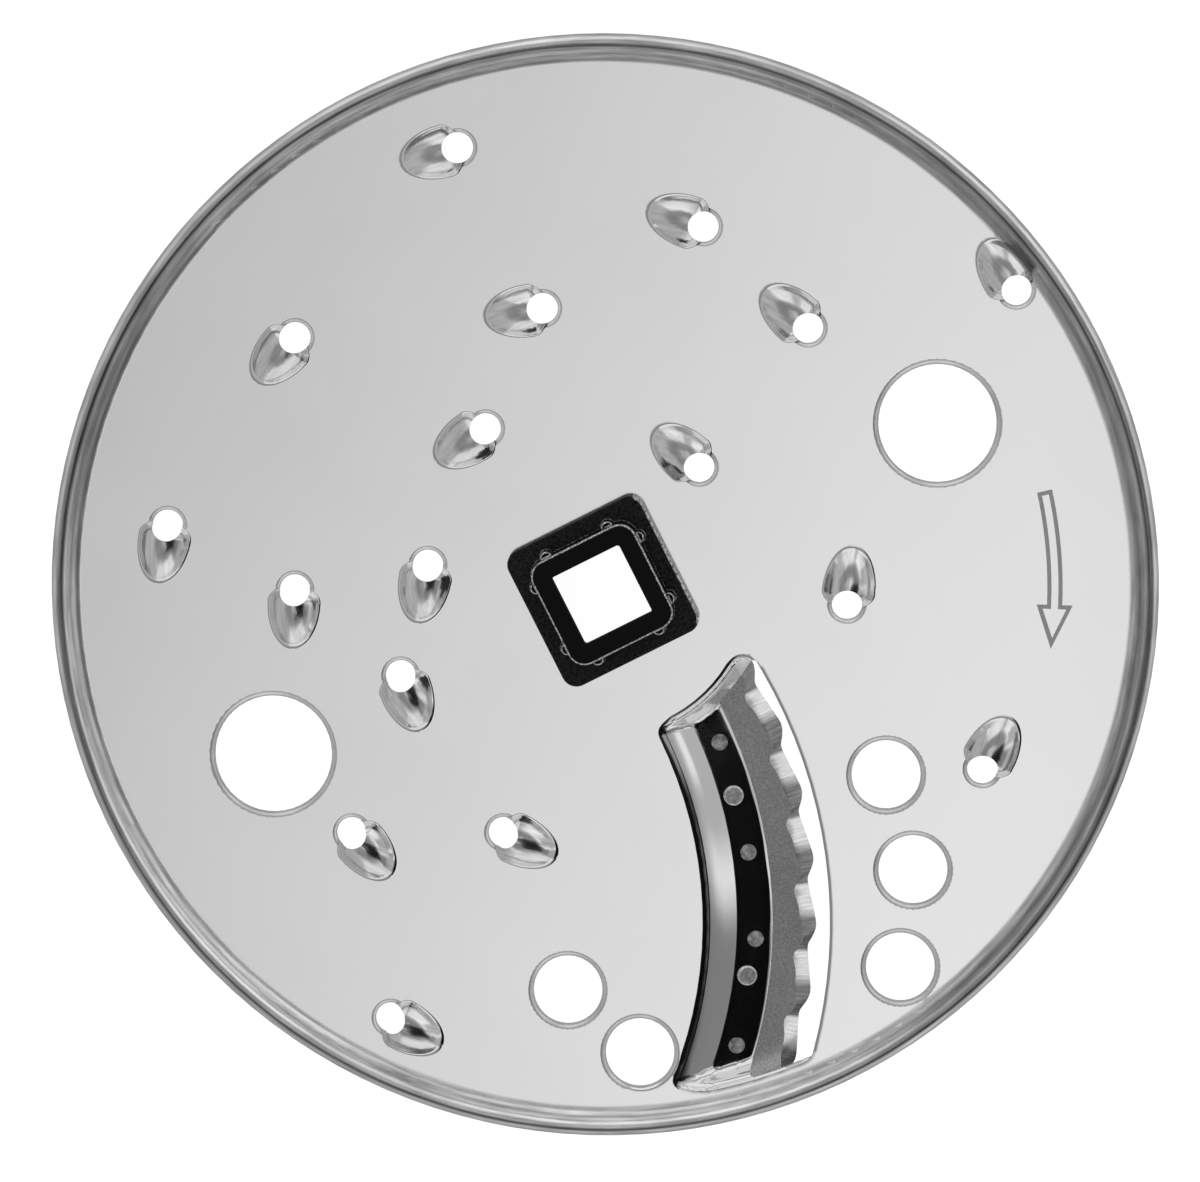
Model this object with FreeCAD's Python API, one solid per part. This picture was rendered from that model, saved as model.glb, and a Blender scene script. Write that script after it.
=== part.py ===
import FreeCAD
import Part
import math
import os
from FreeCAD import Vector

# Shredding and slicing disc of a food processor, millimetres, shredding side up.
# The disc turns about Z. The plane z = 0 is the upper face of the sheet, the X axis
# passes through the two finger holes, and the drive stem comes up through the hub.

# Sheet
disc_radius = 80.0
sheet = 0.6

# The pattern of teeth, holes, pocket and blade is laid out in plan for a disc of this
# radius and spreads with the disc
pattern_radius = 80.0
spread = disc_radius / pattern_radius

# Rolled rim: the sheet sweeps up from the flat and curls over into a hollow bead
bead_radius = 1.25
rim_height = 2.0
rim_width = 4.2
rim_start = disc_radius - rim_width
curl_end = -135.0

# Finger holes and plain holes, with their edges turned down
finger_hole_radius = 8.5
finger_hole_reach = 53.8 * spread
plain_hole_radius = 5.0
plain_holes = [(24.5, -42.4), (21.8, -56.6), (13.8, -68.6), (-31.05, -50.1), (-25.8, -63.05)]
lip_radius = 0.85
lip_straight = 0.2

# Shredding teeth: each stands one step further out than the last, in mixed directions
tooth_first_radius = 22.5
tooth_last_radius = rim_start - 2.4
tooth_directions = [25.5, 145.5, 99.5, 176.5, -30.0, -139.0, 75.5, 153.5, 25.5,
                    -162.5, 48.0, 114.0, -52.0, 145.0, 81.5, -143.0, 9.5]
tooth_hole_radius = 2.2
tooth_lip_radius = 0.7
hood_height = 2.2
hood_half_width = 3.6
hood_back = 6.4
hood_front = 2.3
hood_centre = 1.8
hood_foot = 0.4
hood_foot_slope = 8.0
hood_foot_end = 0.02
hood_turn = -3.0

# Pocket that carries the slicing blade, pressed down through the sheet. Its long wall,
# floor and blade follow arcs about one centre, its end walls arcs about the disc axis.
pocket_centre = Vector(-64.05, -22.4, 0.0) * spread
ramp_top_radius = 62.0 * spread
ramp_angle = 30.0
pocket_depth = 2.7
floor_slope = 8.0
floor_edge_radius = 71.4 * spread
floor_edge_centre = pocket_centre + Vector(0.0, -0.7, 0.0)
floor_edge_break = 0.5
floor_edge_slope = 30.0
hub_wall_angle = 55.0
hub_end_radius = 21.7
rim_wall_angle = 72.0
rim_end_radius = rim_start - 1.6
corner_radius = 1.6
corner_stop = 0.1
foot_radius = 1.4
under_foot_radius = 1.6
mouth_bend = 2.1

# Slot that the slices pass through
slot_centre = Vector(-59.35, -25.05, 0.0) * spread
slot_radius = 74.65 * spread
slot_wall_gap = 0.85
slot_wall_angle = 70.0
slot_hub_end = 23.6
slot_rim_end = rim_start - 1.05
slot_corner = 0.6

# Slicing blade, ground with a wavy bevel that faces up through the slot
blade_thickness = 0.7
blade_edge_radius = 77.6 * spread
blade_width = 10.2
blade_edge_drift = 0.25
blade_edge_wave = 0.55
blade_edge_fall = (65.0, 27.0)
bevel_width = 2.0
bevel_back_wave = 0.65
bevel_back_fall = (119.0, 52.0)
wave_pitch = 7.39
wave_crest = -5.24
wave_start = 7.0
wave_sweep = 58.0
points_per_wave = 16
bevel_overrun = 0.6
blade_hub_end = 23.0
blade_rim_end = rim_start - 0.2

# Fixings of the blade: two rivets and four spot welds that leave a shallow dent each
rivet_line = 68.5 * spread
rivet_directions = [-11.1, -33.5]
rivet_shank_radius = 1.0
rivet_head_radius = 1.45
rivet_head_height = 0.4
rivet_head_round = 0.3
rivet_dish_radius = 0.9
rivet_dish_depth = 0.15
rivet_clearance = 0.02
weld_places = [(69.1, -4.4), (68.9, -18.3), (69.3, -28.95), (69.05, -42.25)]
weld_radius = 1.2
weld_dent = 0.08

# Hub: a square sleeve with eight ribs goes through the sheet and a square collar
# drops over it from above
socket_width = 10.8
socket_corner = 0.4
socket_land = 2.4
socket_relief = 1.2
sleeve_width = 16.4
sleeve_corner = 2.5
sleeve_top = 7.5
sleeve_bottom = -8.1
flange_width = 21.7
flange_corner = 2.2
flange_thickness = 3.0
rib_radius = 0.85
rib_spread = 4.9
rib_top = 5.5
hub_clearance = 0.05
soft_edge = 0.4

# Reach of the helper solids past the faces that they cut or that trim them: a short and
# a long run, levels clear of the disc, start and sweep of the arcs of the pocket, of its
# end walls and of the wall beside the slot, and the side on which round seams lie
spare = 1.0
past = 12.0
BELOW = -12.0
ABOVE = 6.0
pocket_arc = (-66.0, 82.0)
end_wall_arc = (-150.0, 170.0)
slot_wall_arc = (-80.0, 120.0)
seam_direction = 150.0

UP = Vector(0.0, 0.0, 1.0)
AXIS = Vector(0.0, 0.0, 0.0)


def tan(angle):
    return math.tan(math.radians(angle))


def sin(angle):
    return math.sin(math.radians(angle))


def cos(angle):
    return math.cos(math.radians(angle))


def polar(centre, radius, direction, z=0.0):
    return Vector(centre.x + radius * cos(direction), centre.y + radius * sin(direction), z)


def middle(edge):
    return edge.valueAt((edge.FirstParameter + edge.LastParameter) / 2)


def distance(centre, point):
    return math.hypot(point.x - centre.x, point.y - centre.y)


def lies_at(edge, z):
    ends = [edge.valueAt(edge.FirstParameter), middle(edge), edge.valueAt(edge.LastParameter)]
    return all(abs(point.z - z) < 1e-4 for point in ends)


def rises(edge, height):
    start = edge.valueAt(edge.FirstParameter)
    end = edge.valueAt(edge.LastParameter)
    return abs(start.z - end.z) > height


def turned(profile, centre, start=0, sweep=360):
    # Solid of revolution about the vertical through centre, from (radius, z) corners
    corners = [Vector(centre.x + radius, centre.y, z) for radius, z in profile]
    face = Part.Face(Part.makePolygon(corners + corners[:1]))
    solid = face.revolve(centre, UP, sweep)
    solid.rotate(centre, UP, start)
    return solid


def arc_edge(centre, radius, start, end):
    # Arc in the XZ plane between two angles, measured from +X towards +Z
    def at(angle):
        return Vector(centre[0] + radius * cos(angle), 0.0, centre[1] + radius * sin(angle))
    return Part.Arc(at(start), at((start + end) / 2), at(end)).toShape()


def ring_from(edges):
    wire = Part.Wire(Part.__sortEdges__(edges))
    return Part.Face(wire).revolve(AXIS, UP, 360)


def line(start, end):
    return Part.makeLine(Vector(start[0], 0.0, start[1]), Vector(end[0], 0.0, end[1]))


def column(centre, radius, z_low=BELOW, z_high=ABOVE):
    shape = Part.makeCylinder(radius, z_high - z_low, Vector(centre.x, centre.y, z_low), UP)
    return shape.rotate(centre, UP, seam_direction)


# Plate and rim in one section: flat, upward sweep, slope and curled bead. The sweep and
# the bead touch at the angle that brings the bead to its height over the given width.
def plate_and_rim():
    width = disc_radius - bead_radius - rim_start
    sweep = 2 * math.degrees(math.atan(rim_height / width))
    sweep_radius = width / sin(sweep) - bead_radius
    sweep_centre = (rim_start, sweep_radius)
    bead_centre = (disc_radius - bead_radius, rim_height - bead_radius)
    inner_bead = bead_radius - sheet
    join = 90 + sweep

    def bead_point(radius, angle):
        return (bead_centre[0] + radius * cos(angle), bead_centre[1] + radius * sin(angle))
    return ring_from([
        line((0.0, -sheet), (0.0, 0.0)),
        line((0.0, 0.0), (rim_start, 0.0)),
        arc_edge(sweep_centre, sweep_radius, -90, sweep - 90),
        arc_edge(bead_centre, bead_radius, join, curl_end),
        line(bead_point(bead_radius, curl_end), bead_point(inner_bead, curl_end)),
        arc_edge(bead_centre, inner_bead, curl_end, join),
        arc_edge(sweep_centre, sweep_radius + sheet, sweep - 90, -90),
        line((rim_start, -sheet), (0.0, -sheet))])


# Heights of the pocket floor, of the sheet below it and of the blade below that
foot_line = ramp_top_radius + pocket_depth / tan(ramp_angle)


def floor_height(radius, below=0.0):
    return -pocket_depth - (radius - foot_line) * tan(floor_slope) - below / cos(floor_slope)


def pocket_form(gap, top, foot):
    # Hollow of the pocket up to a given height, grown by the gap: none for the upper side
    # of the sheet, one sheet for the lower side
    brim = 2 * spare
    outside = slot_radius + past
    ramp_shift = gap / sin(ramp_angle)
    start_radius = ramp_top_radius - brim / tan(ramp_angle) - ramp_shift
    slope_gain = tan(ramp_angle) - tan(floor_slope)
    lift = pocket_depth - foot_line * tan(floor_slope) + gap / cos(floor_slope)
    meeting = (lift + (ramp_top_radius - ramp_shift) * tan(ramp_angle)) / slope_gain
    trough = turned([(start_radius, brim), (meeting, floor_height(meeting, gap)),
                     (outside, floor_height(outside, gap)), (outside, brim)],
                    pocket_centre, *pocket_arc)

    def hub_end(z):
        return hub_end_radius - z / tan(hub_wall_angle) - gap / sin(hub_wall_angle)

    def rim_end(z):
        return rim_end_radius + z / tan(rim_wall_angle) + gap / sin(rim_wall_angle)
    between_ends = turned([(hub_end(brim), brim), (hub_end(BELOW), BELOW),
                           (rim_end(BELOW), BELOW), (rim_end(brim), brim)], AXIS, *end_wall_arc)
    wall_shift = gap / sin(slot_wall_angle)

    def wall_radius(z):
        return slot_radius - slot_wall_gap + z / tan(slot_wall_angle) + wall_shift
    inside = slot_radius / 2
    before_slot = turned([(inside, brim), (inside, BELOW), (wall_radius(BELOW), BELOW),
                          (wall_radius(brim), brim)], slot_centre, *slot_wall_arc)

    form = trough.common(between_ends).Solids[0]
    tall = pocket_depth / 2
    corners = [edge for edge in form.Edges
               if rises(edge, tall) and distance(pocket_centre, middle(edge)) < foot_line]
    form = form.makeFillet(corner_radius, corners)
    floor = max([face for face in form.Faces if face.BoundBox.ZMax < -tall],
                key=lambda face: face.Area)
    foot_edges = [edge for edge in floor.Edges
                  if distance(pocket_centre, middle(edge)) < outside - spare]
    form = form.makeFillet(foot, foot_edges).common(before_slot)

    # The corners on the slot side are rounded down to just above the foot of the long wall
    break_height = corner_stop - pocket_depth
    upper = form.common(column(AXIS, disc_radius, break_height, ABOVE)).Solids[0]
    lower = form.common(column(AXIS, disc_radius, BELOW, break_height)).Solids[0]
    corners = [edge for edge in upper.Edges
               if rises(edge, tall) and distance(pocket_centre, middle(edge)) > floor_edge_radius]
    form = upper.makeFillet(corner_radius, corners).fuse(lower)
    return form.common(column(AXIS, disc_radius, BELOW, top))


def slot_form():
    # The opening between the free edge of the pocket floor and the plate beyond it
    form = column(slot_centre, slot_radius).cut(column(floor_edge_centre, floor_edge_radius))
    form = form.common(column(AXIS, slot_rim_end)).cut(column(AXIS, slot_hub_end))
    form = min(form.Solids, key=lambda solid: abs(solid.CenterOfMass.x))
    corners = [edge for edge in form.Edges if rises(edge, ABOVE)]
    return form.makeFillet(slot_corner, corners)


def with_pocket(plate):
    body = plate.fuse(pocket_form(sheet, -sheet / 2, under_foot_radius))
    body = body.cut(pocket_form(0.0, 2 * spare, foot_radius)).Solids[0]
    for z, radius in ((0.0, mouth_bend), (-sheet, mouth_bend - sheet)):
        rim = [edge for edge in body.Edges
               if lies_at(edge, z) and distance(AXIS, middle(edge)) < rim_start - sheet]
        body = body.makeFillet(radius, rim)

    # The free edge of the floor is broken towards the slot
    broken = floor_edge_radius - floor_edge_break
    fall = (floor_edge_break + spare) * tan(floor_slope + floor_edge_slope)
    edge_cut = turned([(broken, floor_height(broken)),
                       (floor_edge_radius + spare, floor_height(broken) - fall),
                       (floor_edge_radius + spare, floor_height(broken))],
                      floor_edge_centre, *pocket_arc)
    return body.cut([slot_form(), edge_cut])


# Hole edge turned down: a quarter bend and a short straight lip
def turned_lip(hole_radius, bend):
    start = hole_radius + bend
    low = -bend - lip_straight
    centre = (start, -bend)
    return ring_from([
        arc_edge(centre, bend, 90, 180),
        line((hole_radius, -bend), (hole_radius, low)),
        line((hole_radius, low), (hole_radius + sheet, low)),
        line((hole_radius + sheet, low), (hole_radius + sheet, -bend)),
        arc_edge(centre, bend - sheet, 180, 90),
        line((start, -sheet), (start, 0.0))])


def with_round_holes(body):
    places = [(side * finger_hole_reach, 0.0, finger_hole_radius) for side in (1, -1)]
    places += [(x * spread, y * spread, plain_hole_radius) for x, y in plain_holes]
    blanks = [column(Vector(x, y, 0.0), radius + lip_radius) for x, y, radius in places]
    lips = []
    for x, y, radius in places:
        lip = turned_lip(radius, lip_radius)
        lip.translate(Vector(x, y, 0.0))
        lips.append(lip)
    return body.cut(blanks).fuse(lips)


# Hood of a tooth: a dome, drawn as wide as the hood and then stretched into an egg with
# a long tail and a short front
dome_radius = (hood_half_width ** 2 + hood_height ** 2) / (2 * hood_height)
dome_centre = (0.0, hood_height - dome_radius)


def stretched(edges, inset):
    dome = ring_from(edges)
    parts = []
    for start, length in ((0.0, hood_back), (-past, hood_front)):
        half = dome.common(Part.makeBox(past, 2 * past, 2 * past, Vector(start, -past, -past)))
        stretch = FreeCAD.Matrix()
        stretch.scale((length - inset) / (hood_half_width - inset), 1.0, 1.0)
        parts.append(half.transformGeometry(stretch))
    form = parts[0].fuse(parts[1])
    form.translate(Vector(hood_centre, 0.0, 0.0))
    form.rotate(AXIS, UP, hood_turn)
    return form


def hood_outside():
    # The foot runs out into the sheet in a hollow round that ends in a faint slope
    hollow_z = hood_foot_end + hood_foot * cos(hood_foot_slope)
    hollow_x = math.sqrt((dome_radius + hood_foot) ** 2 - (hollow_z - dome_centre[1]) ** 2)
    touch = math.degrees(math.atan2(hollow_z - dome_centre[1], hollow_x))
    foot_x = hollow_x - hood_foot * sin(hood_foot_slope)
    end_x = foot_x + 3 * hood_foot_end / tan(hood_foot_slope)
    middle_of_sheet = -sheet / 2
    return stretched([
        line((0.0, middle_of_sheet), (0.0, hood_height)),
        arc_edge(dome_centre, dome_radius, 90, touch),
        arc_edge((hollow_x, hollow_z), hood_foot, touch + 180, 270 - hood_foot_slope),
        line((foot_x, hood_foot_end), (end_x, -2 * hood_foot_end)),
        line((end_x, -2 * hood_foot_end), (end_x, middle_of_sheet)),
        line((end_x, middle_of_sheet), (0.0, middle_of_sheet))], 0.0)


def hood_inside():
    radius = dome_radius - sheet
    low = -2 * sheet
    low_angle = math.degrees(math.asin((low - dome_centre[1]) / radius))
    low_x = radius * cos(low_angle)
    return stretched([
        line((0.0, low), (0.0, hood_height - sheet)),
        arc_edge(dome_centre, radius, 90, low_angle),
        line((low_x, low), (0.0, low))], sheet)


def with_teeth(body):
    outside = hood_outside()
    inside = hood_inside()
    ring = turned_lip(tooth_hole_radius, tooth_lip_radius)
    mouth = column(AXIS, tooth_hole_radius + tooth_lip_radius)
    hole = column(AXIS, tooth_hole_radius)
    tooth_step = (tooth_last_radius - tooth_first_radius) / (len(tooth_directions) - 1)

    mouths, added, removed = [], [], []
    for place, direction in enumerate(tooth_directions):
        centre = polar(AXIS, tooth_first_radius + place * tooth_step, direction)
        for shapes, group in (([mouth], mouths), ([outside, ring], added),
                              ([inside, hole], removed)):
            for shape in shapes:
                punch = shape.copy()
                punch.rotate(AXIS, UP, direction + 90)
                punch.translate(centre)
                group.append(punch)
    return body.cut(mouths).fuse(added).cut(removed)


# Square outlines of the hub, with half-round ribs on each side where asked
def square_block(width, corner, z_low, z_high):
    block = Part.makeBox(width, width, z_high - z_low, Vector(-width / 2, -width / 2, z_low))
    upright = [edge for edge in block.Edges if rises(edge, (z_high - z_low) / 2)]
    return block.makeFillet(corner, upright)


def ribs(grow, z_low, z_high):
    posts = []
    for quarter in range(4):
        for side in (1, -1):
            post = column(AXIS, rib_radius + grow, z_low, z_high)
            post.translate(Vector(sleeve_width / 2, side * rib_spread, 0.0))
            post.rotate(AXIS, UP, 90 * quarter)
            posts.append(post)
    return posts


def hub_hole(z_low, z_high):
    block = square_block(sleeve_width + 2 * hub_clearance, sleeve_corner + hub_clearance,
                         z_low, z_high)
    return block.fuse(ribs(hub_clearance, z_low, z_high))


def level_edges(shape, z, reach):
    # Edges of a shape that lie at one height and within reach of the axis
    return [edge for edge in shape.Edges
            if lies_at(edge, z) and distance(AXIS, middle(edge)) > reach]


def hub_sleeve():
    body = square_block(sleeve_width, sleeve_corner, sleeve_bottom, sleeve_top)
    body = body.makeFillet(soft_edge, level_edges(body, sleeve_top, 0)
                           + level_edges(body, sleeve_bottom, 0))
    flange = square_block(flange_width, flange_corner, -sheet - flange_thickness, -sheet)
    flange = flange.makeFillet(soft_edge, level_edges(flange, -sheet - flange_thickness, 0))
    land = square_block(socket_width, socket_corner, BELOW, sleeve_top + spare)
    relief = square_block(socket_width + 2 * socket_relief, socket_corner,
                          BELOW, sleeve_top - socket_land)
    return body.fuse([flange] + ribs(0.0, -sheet, rib_top)).cut([land, relief])


def hub_collar():
    body = square_block(flange_width, flange_corner, 0.0, flange_thickness)
    body = body.makeFillet(soft_edge, level_edges(body, flange_thickness, 0))
    return body.cut(hub_hole(-spare, flange_thickness + spare))


# The blade follows the slope of the pocket floor and is welded to its lower face
def serration(direction, fall):
    # A wave that rises slowly and falls fast, given the middle of the fall and its haste
    phase = 360 * (wave_crest - direction) / wave_pitch - fall[0]
    return -sin(phase + fall[1] * sin(phase))


def blade_face_curve(along):
    # Wavy curve through the bevel: along 0 is its back line, along 1 the cutting edge
    points = []
    steps = round(points_per_wave * wave_sweep / wave_pitch)
    for step in range(steps + 1):
        direction = wave_start - wave_sweep * step / steps
        drift = blade_edge_drift * (1 - 2 * step / steps)
        back = blade_edge_radius - bevel_width
        back += bevel_back_wave * serration(direction, bevel_back_fall)
        edge = blade_edge_radius + drift
        edge += blade_edge_wave * serration(direction, blade_edge_fall)
        back_z = floor_height(back, sheet)
        edge_z = floor_height(edge, sheet + blade_thickness)
        radius = back + along * (edge - back)
        points.append(polar(pocket_centre, radius, direction, back_z + along * (edge_z - back_z)))
    curve = Part.BSplineCurve()
    curve.interpolate(points)
    return curve.toShape()


def upright_on_floor(shape, radius, direction):
    # Stands a shape made about Z on the sloping floor of the pocket
    shape.rotate(AXIS, Vector(0, 1, 0), floor_slope)
    shape.rotate(AXIS, UP, direction)
    shape.translate(polar(pocket_centre, radius, direction, floor_height(radius)))
    return shape


def slicing_blade():
    back = blade_edge_radius - blade_width
    outside = blade_edge_radius + blade_edge_drift + 2 * blade_edge_wave + spare
    body = turned([(back, floor_height(back, sheet)), (outside, floor_height(outside, sheet)),
                   (outside, floor_height(outside, sheet + blade_thickness)),
                   (back, floor_height(back, sheet + blade_thickness))],
                  pocket_centre, *pocket_arc)
    body = body.common(column(AXIS, blade_rim_end)).cut(column(AXIS, blade_hub_end))
    bevel = Part.makeRuledSurface(blade_face_curve(-bevel_overrun),
                                  blade_face_curve(1 + bevel_overrun))
    beyond = bevel.extrude(polar(AXIS, past, wave_start - wave_sweep / 2))
    return body.cut([beyond] + rivet_holes()).Solids[0]


# Rivets: round shank through floor and blade with a low dished head at each end
def rivet_holes():
    holes = []
    for direction in rivet_directions:
        hole = column(AXIS, rivet_shank_radius + rivet_clearance, BELOW / 2, ABOVE / 2)
        holes.append(upright_on_floor(hole, rivet_line, direction))
    return holes


def blade_rivets():
    length = sheet + blade_thickness + 2 * rivet_clearance
    cap = column(AXIS, rivet_head_radius, 0.0, rivet_head_height)
    cap = cap.makeFillet(rivet_head_round, level_edges(cap, rivet_head_height, 0))
    cap = cap.cut(column(AXIS, rivet_dish_radius, rivet_head_height - rivet_dish_depth, ABOVE))
    foot = cap.mirror(AXIS, UP)
    foot.translate(Vector(0, 0, -length))
    body = column(AXIS, rivet_shank_radius, -length, 0.0).fuse([cap, foot]).Solids[0]
    body.translate(Vector(0, 0, rivet_clearance))
    return Part.makeCompound([upright_on_floor(body.copy(), rivet_line, direction)
                              for direction in rivet_directions])


def disc_plate():
    body = with_pocket(plate_and_rim())
    body = with_round_holes(body)
    body = with_teeth(body)
    dents = []
    for reach, direction in weld_places:
        dent = column(AXIS, weld_radius, -weld_dent, spare)
        dents.append(upright_on_floor(dent, reach * spread, direction))
    return body.cut(dents + rivet_holes() + [hub_hole(-sheet - spare, spare)]).Solids[0]


os.makedirs("parts", exist_ok=True)
disc_plate().exportStep("parts/disc_plate.step")
slicing_blade().exportStep("parts/slicing_blade.step")
blade_rivets().exportStep("parts/blade_rivets.step")
hub_sleeve().exportStep("parts/hub_sleeve.step")
hub_collar().exportStep("parts/hub_collar.step")
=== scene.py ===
import bpy
import bmesh
import math
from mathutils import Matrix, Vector


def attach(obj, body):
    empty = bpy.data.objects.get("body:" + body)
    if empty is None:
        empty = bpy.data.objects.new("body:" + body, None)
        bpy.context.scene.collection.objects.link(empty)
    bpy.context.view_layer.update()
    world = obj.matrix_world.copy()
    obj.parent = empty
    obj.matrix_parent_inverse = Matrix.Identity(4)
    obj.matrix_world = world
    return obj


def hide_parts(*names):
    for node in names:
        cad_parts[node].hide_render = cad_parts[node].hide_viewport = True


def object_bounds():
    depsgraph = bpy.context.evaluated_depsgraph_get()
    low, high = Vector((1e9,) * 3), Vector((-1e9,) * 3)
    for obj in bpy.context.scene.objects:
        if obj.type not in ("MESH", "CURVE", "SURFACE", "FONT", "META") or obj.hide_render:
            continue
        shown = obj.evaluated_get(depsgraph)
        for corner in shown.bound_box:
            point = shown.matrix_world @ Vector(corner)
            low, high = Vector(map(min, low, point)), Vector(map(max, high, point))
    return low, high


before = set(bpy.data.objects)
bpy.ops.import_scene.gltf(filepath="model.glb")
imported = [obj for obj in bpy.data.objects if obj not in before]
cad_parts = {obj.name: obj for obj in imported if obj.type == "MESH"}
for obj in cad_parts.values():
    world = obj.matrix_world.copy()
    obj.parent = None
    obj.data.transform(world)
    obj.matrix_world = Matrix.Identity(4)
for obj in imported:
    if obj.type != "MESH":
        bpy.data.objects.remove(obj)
cad_box = [list(corner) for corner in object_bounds()]


# The disc plate: one pressing of thin stainless sheet with its rolled rim, its teeth, its
# holes and the pocket for the blade. Bright with faint smears, streaked where the press drew
# the rim and the hoods, with a painted reflection in rings on the rim, matt on the cut edges, with
# four spot welds in the pocket.

def fill(tree, made, inputs):
    """Joins each socket of a node to another node's output, or gives it a constant."""
    pairs = inputs.items() if isinstance(inputs, dict) else enumerate(inputs)
    for place, value in pairs:
        if isinstance(value, bpy.types.NodeSocket):
            tree.links.new(value, made.inputs[place])
        else:
            made.inputs[place].default_value = value


def add_node(tree, kind, inputs=(), **settings):
    """Adds a shader node with its settings and fills its sockets."""
    made = tree.nodes.new("ShaderNode" + kind)
    for name, value in settings.items():
        setattr(made, name, value)
    fill(tree, made, inputs)
    return made


def put(tree, kind, inputs=(), out=0, **settings):
    """Adds a shader node and gives back one of its outputs."""
    return add_node(tree, kind, inputs, **settings).outputs[out]


def new_material(name):
    """A material with an empty tree, its Principled shader and the material's output."""
    material = bpy.data.materials.new(name)
    material.use_nodes = True
    tree = material.node_tree
    tree.nodes.clear()
    shader = tree.nodes.new("ShaderNodeBsdfPrincipled")
    output = tree.nodes.new("ShaderNodeOutputMaterial")
    tree.links.new(shader.outputs[0], output.inputs["Surface"])
    return material, tree, shader


def grain_group():
    """Fine grain and broad smears on Object coordinates, as two values about 0.5, and a normal."""
    group = bpy.data.node_groups.new("metal_grain", "ShaderNodeTree")
    face = group.interface
    face.new_socket("Grain Scale", in_out="INPUT", socket_type="NodeSocketFloat")
    face.new_socket("Smear Scale", in_out="INPUT", socket_type="NodeSocketFloat")
    face.new_socket("Bump", in_out="INPUT", socket_type="NodeSocketFloat")
    face.new_socket("Grain", in_out="OUTPUT", socket_type="NodeSocketFloat")
    face.new_socket("Smear", in_out="OUTPUT", socket_type="NodeSocketFloat")
    face.new_socket("Normal", in_out="OUTPUT", socket_type="NodeSocketVector")
    given = group.nodes.new("NodeGroupInput").outputs
    place = put(group, "TexCoord", out="Object")
    grain = put(group, "TexNoise", {"Vector": place, "Scale": given["Grain Scale"],
                                    "Detail": 2.0, "Roughness": 0.6})
    smear = put(group, "TexNoise", {"Vector": place, "Scale": given["Smear Scale"],
                                    "Detail": 5.0, "Roughness": 0.55, "Distortion": 0.4})
    normal = put(group, "Bump", {"Strength": given["Bump"], "Distance": 0.00002, "Height": grain})
    fill(group, group.nodes.new("NodeGroupOutput"), (grain, smear, normal))
    return group


metal_grain = grain_group()


def grain_node(tree, grain_scale, smear_scale, bump=0.0):
    """The outputs of the shared grain, with a material's own scales and bump."""
    return add_node(tree, "Group", {"Grain Scale": grain_scale, "Smear Scale": smear_scale,
                                    "Bump": bump}, node_tree=metal_grain).outputs


def spread(tree, value, low, high, to_low=0.0, to_high=1.0):
    """Maps a value from one range to another."""
    return put(tree, "MapRange", {"Value": value, "From Min": low, "From Max": high,
                                  "To Min": to_low, "To Max": to_high})


def mixed(tree, factor, first, second):
    """A colour that goes from the first to the second with a factor from 0 to 1."""
    return put(tree, "Mix", {"Factor": factor, "A": first, "B": second}, out=2, data_type="RGBA")


def grey_between(tree, factor, dark, light):
    """A grey that goes from dark to light with a factor from 0 to 1."""
    return mixed(tree, factor, (dark, dark, dark, 1.0), (light, light, light, 1.0))


def scaled(tree, colour, factor):
    """A colour made darker or lighter by a factor."""
    return put(tree, "VectorMath", {0: colour, "Scale": factor}, operation="SCALE")


def steps(tree, value, *stops):
    """Greys along a value from 0 to 1, given as pairs of a place and a tone."""
    made = add_node(tree, "ValToRGB", (value,))
    while len(made.color_ramp.elements) < len(stops):
        made.color_ramp.elements.new(0.5)
    for element, (position, tone) in zip(made.color_ramp.elements, stops):
        element.position = position
        element.color = (tone, tone, tone, 1.0)
    return made.outputs["Color"]


def round_axis(tree, centre=(0.0, 0.0, 0.0)):
    """The distance from an upright axis through a centre, the turn about it and the height."""
    place = put(tree, "TexCoord", out="Object")
    offset = put(tree, "VectorMath", (place, centre), operation="SUBTRACT")
    flat = put(tree, "VectorMath", (offset, (1.0, 1.0, 0.0)), operation="MULTIPLY")
    reach = put(tree, "VectorMath", (flat,), out="Value", operation="LENGTH")
    apart = add_node(tree, "SeparateXYZ", (offset,)).outputs
    turn = put(tree, "Math", (apart["Y"], apart["X"]), operation="ARCTAN2")
    return reach, turn, apart["Z"]


def grainy(name, follow, limits, greys, scales, roughness, bump=0.0, metallic=1.0, specular=0.5):
    """A material whose grey follows its grain or its smears, between two limits of them."""
    material, tree, shader = new_material(name)
    grain = grain_node(tree, *scales, bump=bump)
    tone = grey_between(tree, spread(tree, grain[follow], *limits), *greys)
    fill(tree, shader, {"Base Color": tone, "Roughness": roughness, "Metallic": metallic,
                        "Specular IOR Level": specular})
    if bump:
        fill(tree, shader, {"Normal": grain["Normal"]})
    return material


def merged(node):
    """The faces of a CAD node, joined into closed shells."""
    shape = bmesh.new()
    shape.from_mesh(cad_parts[node].data)
    bmesh.ops.remove_doubles(shape, verts=shape.verts, dist=0.000002)
    shape.normal_update()
    return shape


def flat_patches(shape):
    """For each face, the summed area vector of the flat patch that the face lies in."""
    same_plane = 0.9999985
    patch = {}
    for first in shape.faces:
        if first in patch:
            continue
        whole = Vector()
        patch[first] = whole
        open_faces = [first]
        while open_faces:
            face = open_faces.pop()
            whole += face.normal * face.calc_area()
            for edge in face.edges:
                for other in edge.link_faces:
                    if other not in patch and other.normal.dot(first.normal) > same_plane:
                        patch[other] = whole
                        open_faces.append(other)
    return patch


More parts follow.
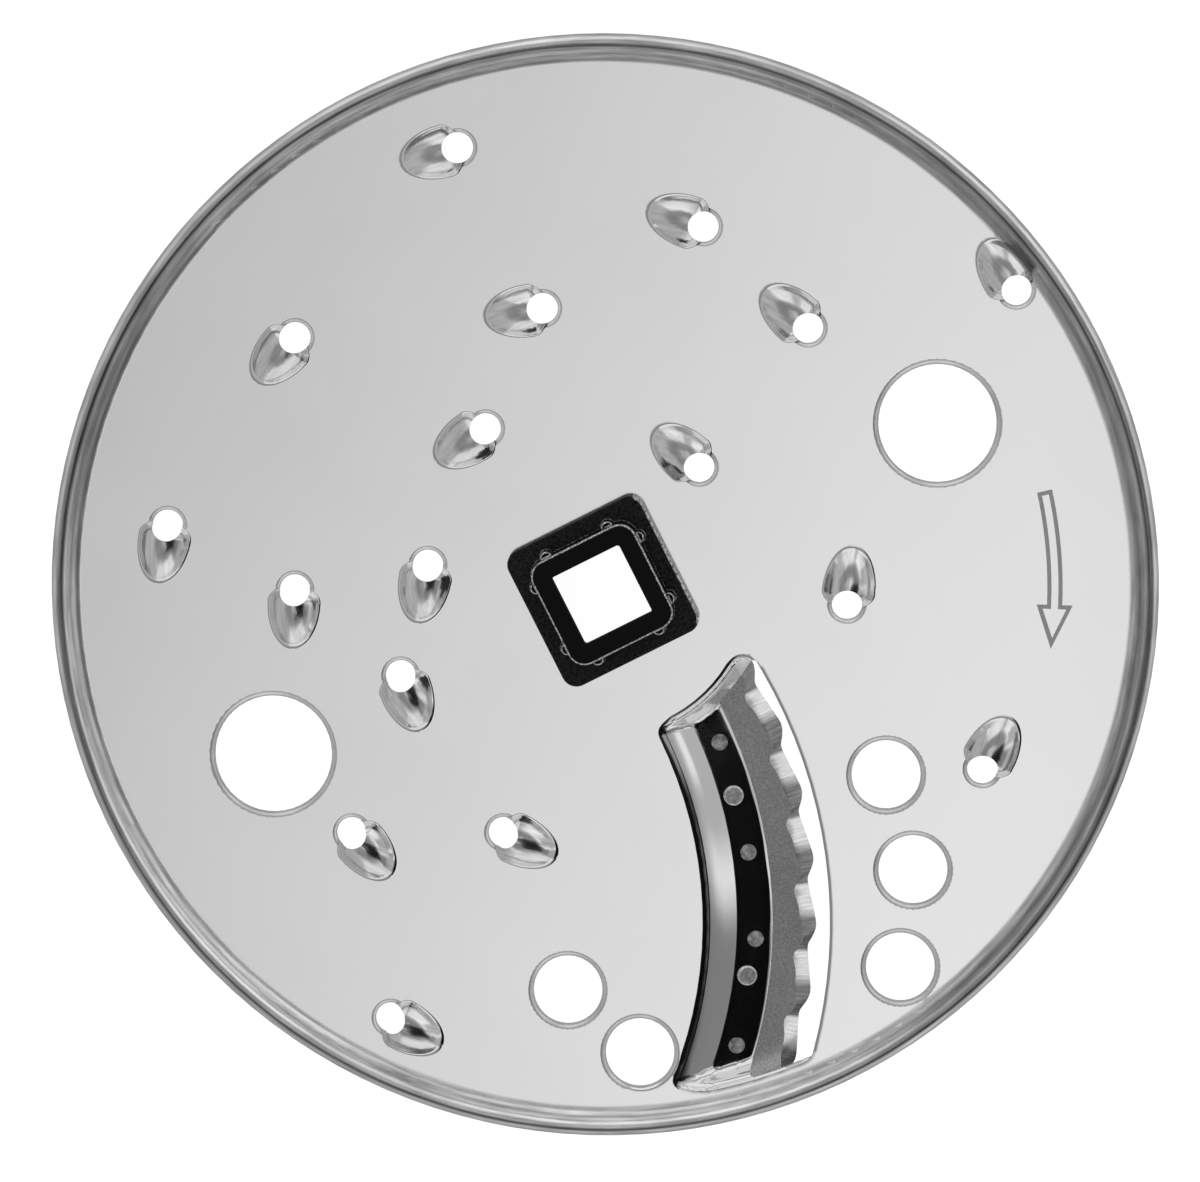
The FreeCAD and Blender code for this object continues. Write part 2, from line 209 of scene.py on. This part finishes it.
def corner_normals(shape, sharp_angle):
    """The normal at each face corner: the mean of the patches that meet there without a sharp
    edge, each with its whole area, so that a flat stays flat up to the curve beside it."""
    patch = flat_patches(shape)
    sharp = math.radians(sharp_angle)
    bends = {edge: len(edge.link_faces) == 2 and edge.calc_face_angle() < sharp
             for edge in shape.edges}
    corner = {}
    for vert in shape.verts:
        waiting = set(vert.link_faces)
        while waiting:
            fan = [waiting.pop()]
            for face in fan:
                for edge in face.edges:
                    if bends[edge] and vert in edge.verts:
                        joined = waiting.intersection(edge.link_faces)
                        waiting -= joined
                        fan.extend(joined)
            mean = Vector()
            for whole in {id(patch[face]): patch[face] for face in fan}.values():
                mean += whole
            for face in fan:
                corner[face, vert] = mean.normalized()
    return [corner[face, vert] for face in shape.faces for vert in face.verts]


def placed(name, shape, *materials):
    """Makes an object of a shape and puts it in the scene."""
    mesh = bpy.data.meshes.new(name)
    shape.to_mesh(mesh)
    shape.free()
    for material in materials:
        mesh.materials.append(material)
    piece = bpy.data.objects.new(name, mesh)
    bpy.context.scene.collection.objects.link(piece)
    return piece


def true_piece(shape, node, sharp_angle, *materials):
    """Makes the piece that stands for a CAD node, shaded by the node's real curves."""
    normals = corner_normals(shape, sharp_angle)
    piece = placed(node + "_form", shape, *materials)
    mesh = piece.data
    if "custom_normal" in mesh.attributes:
        mesh.attributes.remove(mesh.attributes["custom_normal"])
    mesh.shade_smooth()
    mesh.set_sharp_from_angle(angle=math.radians(sharp_angle))
    mesh.normals_split_custom_set(normals)
    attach(piece, "root")
    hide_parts(node)
    return piece


photo_up = (0.4498, 0.8931, 0.0)
lower_left = (-0.8361, -0.5485, 0.0)
# Distances from the disc's axis, then heights on the hoods.
rim_foot, rim_start, rim_edge = 0.0758, 0.0763, 0.0800
matt_from, matt_full = 0.0757, 0.0761
ring_shift = 0.00036
hood_foot, hood_side = 0.00005, 0.0005
# The pocket's ramp: distances from the centre of its arcs, and the heights of its upper bend.
pocket_centre = Vector((-0.06405, -0.0224, 0.0))
bend_start, bend_width, bend_slope = 0.0622, 0.0026, 0.16
swell_from, swell_full = -0.0001, -0.0004


def toward(tree, direction, reach):
    """How far each place lies towards a direction, as a share of its distance from the axis."""
    place = put(tree, "TexCoord", out="Object")
    along = put(tree, "VectorMath", (place, direction), out="Value", operation="DOT_PRODUCT")
    return put(tree, "Math", (along, reach), operation="DIVIDE")


def rim_painted_reflection(tree, reach):
    """Painted reflection in grey rings across the rolled rim, with one painted dark ring. The rings
    lie a little further in towards photo_up, and a painted highlight brightens them towards
    lower_left."""
    across = put(tree, "Math", (toward(tree, photo_up, reach), ring_shift, reach),
                 operation="MULTIPLY_ADD")
    across = spread(tree, across, rim_foot, rim_edge)
    rings_painted_reflection = steps(tree, across, (0.0, 0.95), (0.11, 0.85), (0.22, 0.46), (0.33, 0.38),
                 (0.42, 0.46), (0.50, 0.58), (0.58, 0.40), (0.67, 0.11), (0.76, 0.55),
                 (0.86, 0.90), (1.0, 0.80))
    rings_painted_highlight = steps(tree, across, (0.0, 0.95), (0.11, 0.85), (0.24, 0.66), (0.33, 0.80),
                  (0.50, 0.97), (0.58, 0.70), (0.67, 0.14), (0.76, 0.55), (0.86, 0.80),
                  (1.0, 0.75))
    return mixed(tree, spread(tree, toward(tree, lower_left, reach), 0.25, 0.70), rings_painted_reflection, rings_painted_highlight)


def bend_swell(tree, height):
    """The soft swell where the flat sheet turns down into the pocket's ramp, as a height. Its
    slope fades to nothing over the width of the bend."""
    from_centre = round_axis(tree, pocket_centre)[0]
    past = spread(tree, from_centre, bend_start, bend_start + bend_width, 0.0, bend_width)
    cube = put(tree, "Math", (past, 3.0), operation="POWER")
    swell = put(tree, "Math", (cube, -1.0 / (3.0 * bend_width ** 2), past),
                operation="MULTIPLY_ADD")
    slope = spread(tree, height, swell_from, swell_full, 0.0, bend_slope)
    return put(tree, "Math", (swell, slope), operation="MULTIPLY")


def bright_sheet():
    """The sheet as it left the mill. The rim and the hoods show streaks from the press, and the rim
    also a painted reflection in grey rings.
    """
    material, tree, shader = new_material("sheet_steel")
    reach, turn, height = round_axis(tree)
    on_rim = spread(tree, reach, rim_foot, rim_start)
    raised = spread(tree, height, hood_foot, hood_side)
    grain = grain_node(tree, 2500.0, 38.0, bump=spread(tree, on_rim, 0.0, 1.0, 0.0, 0.4))
    bright = grey_between(tree, spread(tree, grain["Smear"], 0.35, 0.65), 0.80, 0.83)
    round_rim = put(tree, "Math", (turn, 0.006), operation="MULTIPLY")
    streaks = put(tree, "TexNoise", {"Vector": put(tree, "CombineXYZ", (reach, round_rim)),
                                     "Scale": 1700.0, "Detail": 3.0})
    # The rim's colour: a painted reflection in rings, with the press streaks over it.
    rim_reflection_and_streaks = scaled(tree, rim_painted_reflection(tree, reach), spread(tree, streaks, 0.3, 0.7, 0.74, 1.26))
    drawn = scaled(tree, bright, spread(tree, streaks, 0.35, 0.65, 0.84, 1.08))
    polish = spread(tree, grain["Smear"], 0.3, 0.7, 0.10, 0.13)
    rim_wear = spread(tree, reach, matt_from, matt_full, 0.0, 0.22)
    hood_wear = put(tree, "Math", (raised, 0.06), operation="MULTIPLY")
    wear = put(tree, "Math", (rim_wear, hood_wear), operation="MAXIMUM")
    bent = put(tree, "Bump", {"Strength": 1.0, "Distance": 1.0, "Height": bend_swell(tree, height),
                              "Normal": grain["Normal"]})
    fill(tree, shader, {"Base Color": mixed(tree, on_rim, mixed(tree, raised, bright, drawn), rim_reflection_and_streaks),
                        "Roughness": put(tree, "Math", (polish, wear), operation="ADD"),
                        "Normal": bent, "Metallic": 1.0})
    return material


sheet_steel = bright_sheet()
weld_mark = grainy("weld_mark", "Smear", (0.35, 0.65), (0.26, 0.66), (2600.0, 1400.0), 0.6, bump=0.5)
cut_edge = grainy("cut_edge", "Smear", (0.35, 0.65), (0.74, 0.90), (2600.0, 200.0), 0.4, bump=0.2)

# The slot's outer wall, the ring and the side of the disc that hold the pocket, the slope of
# its floor, the spot welds on the floor, and the band of heights where a hole's edge lies.
slot_centre, slot_radius = Vector((-0.05935, -0.02505)), 0.07465
slot_band, slot_below = 0.003, -0.018
pocket_inner, pocket_outer, pocket_below = 0.056, 0.0785, -0.015
pocket_depth, floor_start, floor_fall = 0.0027, 0.066677, 0.14054
weld_size, dent_least, dent_most = 0.00126, 0.00002, 0.0003
skin, hole_depth = 0.000005, 0.0007
weld_spots = [pocket_centre.xy + reach * Vector((math.cos(turn), math.sin(turn)))
              for reach, turn in ((0.0691, math.radians(-4.4)), (0.0689, math.radians(-18.3)),
                                  (0.0693, math.radians(-28.95)), (0.06905, math.radians(-42.25)))]


def plate_finish(face):
    """The material of a face of the plate: 0 for the sheet, 1 for a spot weld, 2 for a cut edge."""
    middle = face.calc_center_median()
    from_centre = (middle.xy - pocket_centre.xy).length
    floor_height = -pocket_depth - (from_centre - floor_start) * floor_fall
    sunk = dent_least < floor_height - middle.z < dent_most
    if sunk and min((middle.xy - spot).length for spot in weld_spots) < weld_size:
        return 1
    from_wall = abs((middle.xy - slot_centre).length - slot_radius)
    if from_wall < slot_band and middle.y < slot_below:
        return 2 * int(middle.z < -skin and -0.2 < face.normal.z < 0.93)
    in_pocket = pocket_inner < from_centre < pocket_outer and middle.y < pocket_below
    on_edge = -hole_depth < middle.z < -skin and -0.2 < face.normal.z < 0.9995
    return 2 * int(on_edge and not in_pocket)


shape = merged("disc_plate")
for face in shape.faces:
    face.material_index = plate_finish(face)
plate = true_piece(shape, "disc_plate", 32.0, sheet_steel, weld_mark, cut_edge)


# A plain arrow marked on the plate beside the right finger hole. It shows the way the disc
# turns. A faint grey mark, not a part that stands out.

mark_grey = grainy("mark_grey", "Grain", (0.3, 0.7), (0.52, 0.62), (1800.0, 300.0), 0.5)

mark_reach, mark_middle, mark_height = 0.0651, math.radians(-24.0), 0.000012
mark_length, head_length, half_head = 0.0230, 0.0064, 0.0026
stroke, half_shaft, shaft_cuts = 0.0006, 0.0011, 11
neck = mark_length - head_length

shape = bmesh.new()
shape.faces.new([shape.verts.new((along, side, 0.0)) for along, side in (
    (0.0, half_shaft), (neck, half_shaft), (neck, half_head), (mark_length, 0.0),
    (neck, -half_head), (neck, -half_shaft), (0.0, -half_shaft))])
shaft = [edge for edge in shape.edges if edge.calc_length() > mark_length / 2]
bmesh.ops.subdivide_edges(shape, edges=shaft, cuts=shaft_cuts)
drawn_line = bmesh.ops.inset_region(shape, faces=shape.faces[:], thickness=stroke,
                                    use_boundary=True, use_even_offset=True)["faces"]
inside = [face for face in shape.faces if face not in drawn_line]
bmesh.ops.delete(shape, geom=inside, context="FACES")
raised = bmesh.ops.extrude_face_region(shape, geom=drawn_line)["geom"]
bmesh.ops.translate(shape, verts=[part for part in raised if isinstance(part, bmesh.types.BMVert)],
                    vec=(0.0, 0.0, mark_height))
for vert in shape.verts:
    turn = mark_middle + (mark_length / 2 - vert.co.x) / mark_reach
    vert.co.xy = (mark_reach + vert.co.y) * Vector((math.cos(turn), math.sin(turn)))
bmesh.ops.recalc_face_normals(shape, faces=shape.faces)
arrow = placed("turning_arrow", shape, mark_grey)
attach(arrow, "root")


# The slicing blade: a strip of thicker steel under the pocket floor, ground matt on its
# flat and then ground again across the wavy bevel, which shines, with a painted reflection on its
# waves.

wave_pitch, wave_shift = math.radians(7.39), math.radians(0.53)


def matt_flat():
    """The ground flat of the blade, speckled by the stone."""
    material, tree, shader = new_material("blade_steel")
    grain = grain_node(tree, 3400.0, 120.0, bump=0.8)
    tone = grey_between(tree, spread(tree, grain["Grain"], 0.3, 0.7), 0.36, 0.62)
    fill(tree, shader, {"Base Color": tone, "Normal": grain["Normal"], "Metallic": 1.0,
                        "Roughness": spread(tree, grain["Smear"], 0.3, 0.7, 0.42, 0.52)})
    return material


def bevel_painted_reflection():
    """The bevel, with fine lines across it from the wheel, and a painted reflection: the side of each
    wave that turns back to the notch is painted dark, and the rest is painted bright."""
    material, tree, shader = new_material("bevel_steel")
    grain = grain_node(tree, 3800.0, 160.0)
    reach, turn = round_axis(tree, pocket_centre)[:2]
    line_place = put(tree, "CombineXYZ", (put(tree, "Math", (reach, 0.10), operation="MULTIPLY"),
                                          put(tree, "Math", (turn, 0.077), operation="MULTIPLY")))
    lines = put(tree, "TexNoise", {"Vector": line_place, "Scale": 3000.0, "Detail": 3.0})
    lines = spread(tree, lines, 0.3, 0.7)
    wave = put(tree, "Math", (turn, -1.0 / wave_pitch, -wave_shift / wave_pitch),
               operation="MULTIPLY_ADD")
    wave = put(tree, "Math", (wave,), operation="FRACT")
    # Painted reflection: dark on the side of each wave that turns back, bright on the rest.
    painted_dark_flank = put(tree, "Math", (spread(tree, wave, 0.38, 0.56), spread(tree, wave, 0.05, 0.0)),
                    operation="MAXIMUM")
    tone = mixed(tree, painted_dark_flank, grey_between(tree, lines, 0.60, 0.86),
                 grey_between(tree, lines, 0.13, 0.27))
    ground = put(tree, "Bump", {"Strength": 0.35, "Distance": 0.00002, "Height": lines})
    fill(tree, shader, {"Base Color": tone, "Normal": ground, "Metallic": 1.0,
                        "Roughness": spread(tree, grain["Smear"], 0.3, 0.7, 0.18, 0.26)})
    return material


shape = merged("slicing_blade")
for face in shape.faces:
    face.material_index = int(0.4 < face.normal.z < 0.97)
blade = true_piece(shape, "slicing_blade", 12.0, matt_flat(), bevel_painted_reflection())


# The rivets: two round heads with a shallow dish that hold the blade to the pocket floor.
# The steel is a little uneven.

rivet_steel = grainy("rivet_steel", "Smear", (0.35, 0.65), (0.50, 0.95), (3000.0, 1500.0), 0.36,
                     bump=0.4)
rivets = true_piece(merged("blade_rivets"), "blade_rivets", 50.0, rivet_steel)


# The hub: a square sleeve with its ribs and flange, and the square collar that drops over
# it and clamps the sheet. Both are moulded in black plastic, the collar with a fine grain.
# The sleeve's end, the edges round the ribs and one side of the collar carry a painted highlight in
# light grey.

hub_plastic = grainy("hub_plastic", "Grain", (0.35, 0.65), (0.0, 0.026), (2300.0, 90.0), 0.45,
                     bump=1.0, metallic=0.0, specular=0.15)
sleeve_plastic = grainy("sleeve_plastic", "Smear", (0.3, 0.7), (0.0030, 0.0042), (1500.0, 60.0), 0.6,
                        bump=0.1, metallic=0.0, specular=0.12)
highlight_plastic = grainy("highlight_plastic", "Grain", (0.35, 0.65), (0.12, 0.92), (2600.0, 400.0), 0.6,
                        metallic=0.0)

rib_top, collar_top, sleeve_end = 0.0055, 0.003, 0.0071
around_ribs, collar_side, highlight_width = 0.0098, 0.0100, 0.0002
same_height = 0.00002


def with_painted_highlight(shape, height):
    """Breaks the sharp edges round the ribs at this height and gives them a painted highlight."""
    edges = [edge for edge in shape.edges
             if len(edge.link_faces) == 2 and edge.calc_face_angle() > 1.0
             and all(abs(vert.co.z - height) < same_height and max(map(abs, vert.co.xy)) < around_ribs
                     for vert in edge.verts)]
    highlit = bmesh.ops.bevel(shape, geom=edges, offset=highlight_width, affect="EDGES", segments=1,
                           profile=0.5, material=-1)
    for face in highlit["faces"]:
        face.material_index = 1
    shape.normal_update()
    return shape


shape = with_painted_highlight(merged("hub_sleeve"), rib_top)
# A painted highlight on the sleeve's top outer edge.
for face in shape.faces:
    if face.calc_center_median().z > sleeve_end and 0.05 < face.normal.z < 0.88:
        face.material_index = 1
sleeve = true_piece(shape, "hub_sleeve", 30.0, sleeve_plastic, highlight_plastic)
shape = with_painted_highlight(merged("hub_collar"), collar_top)
# A painted highlight on the collar's side towards +X.
for face in shape.faces:
    lit_side = face.normal.x > 0.15 and face.normal.z > -0.1
    if lit_side and face.calc_center_median().x > collar_side:
        face.material_index = 1
collar = true_piece(shape, "hub_collar", 30.0, hub_plastic, highlight_plastic)


# The studio: the disc stands on its hub on a pale floor under a broad bright ceiling, with
# a dark gap to the right of the camera and darker and brighter panels further down.

photo_right = (0.8931, -0.4498, 0.0)
sky_level, sky_rise_right, sky_rise_up = 0.987, 0.0370, -0.0182
sky_least, sky_most = 0.62, 1.25
degrees = math.degrees(1.0)

world = bpy.data.worlds.new("studio")
bpy.context.scene.world = world
world.use_nodes = True
sky = world.node_tree
sky.nodes.clear()


def sums(operation, *values):
    """One step of arithmetic in the sky."""
    return put(sky, "Math", values, operation=operation)


def times(a, b):
    return sums("MULTIPLY", a, b)


def part_along(direction):
    """The part of the view's direction that goes along another."""
    return put(sky, "VectorMath", (put(sky, "TexCoord"), direction), out="Value",
               operation="DOT_PRODUCT")


def smooth(value, low, high):
    """Goes softly from 0 at the low value to 1 at the high one."""
    return put(sky, "MapRange", {"Value": value, "From Min": low, "From Max": high},
               interpolation_type="SMOOTHSTEP")


def blend(a, b, factor):
    return put(sky, "Mix", {"Factor": factor, "A": a, "B": b}, data_type="FLOAT")


def between(value, low, high, soft):
    return times(smooth(value, low - soft, low + soft), smooth(value, high + soft, high - soft))


across = part_along(photo_right)
along = part_along(photo_up)
tilt = times(sums("ARCCOSINE", part_along((0.0, 0.0, 1.0))), degrees)
bearing = times(sums("ARCTAN2", along, across), degrees)
flat = sums("SQRT", sums("ADD", times(across, across), times(along, along)))
share = sums("DIVIDE", tilt, sums("MAXIMUM", flat, 0.0001))
east = times(across, share)
north = times(along, share)


def panel(west, east_end, south, north_end, soft):
    """Mask of a soft-edged panel between tilts from straight up, in degrees across and along."""
    return times(between(east, west, east_end, soft), between(north, south, north_end, soft))


def band(from_bearing, to_bearing, from_tilt, to_tilt, soft):
    """Mask of a soft-edged panel between two bearings, in degrees from the photo's right."""
    return times(between(bearing, from_bearing, to_bearing, soft),
                 between(tilt, from_tilt, to_tilt, soft))


light = sums("ADD", times(east, sky_rise_right), times(north, sky_rise_up))
light = sums("MAXIMUM", sums("ADD", light, sky_level), sky_least)
light = sums("MINIMUM", light, sky_most)
light = blend(light, 0.33, smooth(tilt, 13.0, 19.0))
light = blend(light, 0.60, smooth(tilt, 33.0, 47.0))
# Each strength with its patch of sky: the bearings and the tilts it lies between, and its softness.
for strength, patch in ((0.30, (-45.0, -8.0, 38.0, 66.0, 3.0)),
                        (1.05, (-110.0, -45.0, 45.0, 86.0, 3.0)),
                        (1.20, (9.0, 60.0, 45.0, 53.0, 1.5)),
                        (1.15, (-9.5, -0.5, 46.0, 80.0, 4.5)),
                        (0.62, (2.0, 27.0, 54.5, 90.0, 3.0)),
                        (1.20, (27.0, 60.0, 50.0, 80.0, 2.5)),
                        (1.15, (74.0, 128.0, 38.0, 80.0, 5.0))):
    light = blend(light, strength, band(*patch))
light = blend(light, 0.33, smooth(tilt, 84.0, 92.0))
light = blend(light, 0.002, panel(6.5, 41.0, -28.0, 6.0, 1.5))
surround = put(sky, "Background", {"Strength": light})
fill(sky, sky.nodes.new("ShaderNodeOutputWorld"), {"Surface": surround})


def lit_floor():
    """White to the camera; in mirror images it glows dimmer in the first, as a painted shade, and
    bright in those after it, as a painted light.
    """
    first_image, later_image, glow = 0.25, 1.1, 0.98
    material, tree, shader = new_material("floor_paint")
    depth = put(tree, "LightPath", out="Glossy Depth")
    # Painted reflection: the floor glows dim in the first mirror image and bright in later ones.
    mirrored = put(tree, "Math", (put(tree, "LightPath", out="Is Glossy Ray"),
                                  spread(tree, depth, 1.0, 2.0, first_image, later_image)),
                   operation="MULTIPLY")
    seen = put(tree, "Math", (put(tree, "LightPath", out="Is Camera Ray"), mirrored), operation="ADD")
    fill(tree, shader, {"Base Color": (0.25, 0.25, 0.25, 1.0), "Roughness": 0.9,
                        "Emission Color": (1.0, 1.0, 1.0, 1.0),
                        "Emission Strength": put(tree, "Math", (seen, glow), operation="MULTIPLY")})
    return material


floor_size, floor_gap = 3.0, 0.0001
shape = bmesh.new()
bmesh.ops.create_grid(shape, x_segments=1, y_segments=1, size=floor_size)
bmesh.ops.translate(shape, verts=shape.verts, vec=(0.0, 0.0, cad_box[0][2] - floor_gap))
floor = placed("floor", shape, lit_floor())

lens = bpy.data.cameras.new("camera")
lens.lens = 155.775
lens.sensor_width = 36.0
lens.clip_start = 0.05
camera = bpy.data.objects.new("camera", lens)
camera.location = (0.0563606, 0.0577645, 0.7462796)
camera.rotation_euler = [math.radians(turn) for turn in (-5.89793, 1.90910, -26.73099)]
bpy.context.scene.collection.objects.link(camera)
bpy.context.scene.camera = camera
bpy.context.scene.view_settings.view_transform = "Standard"
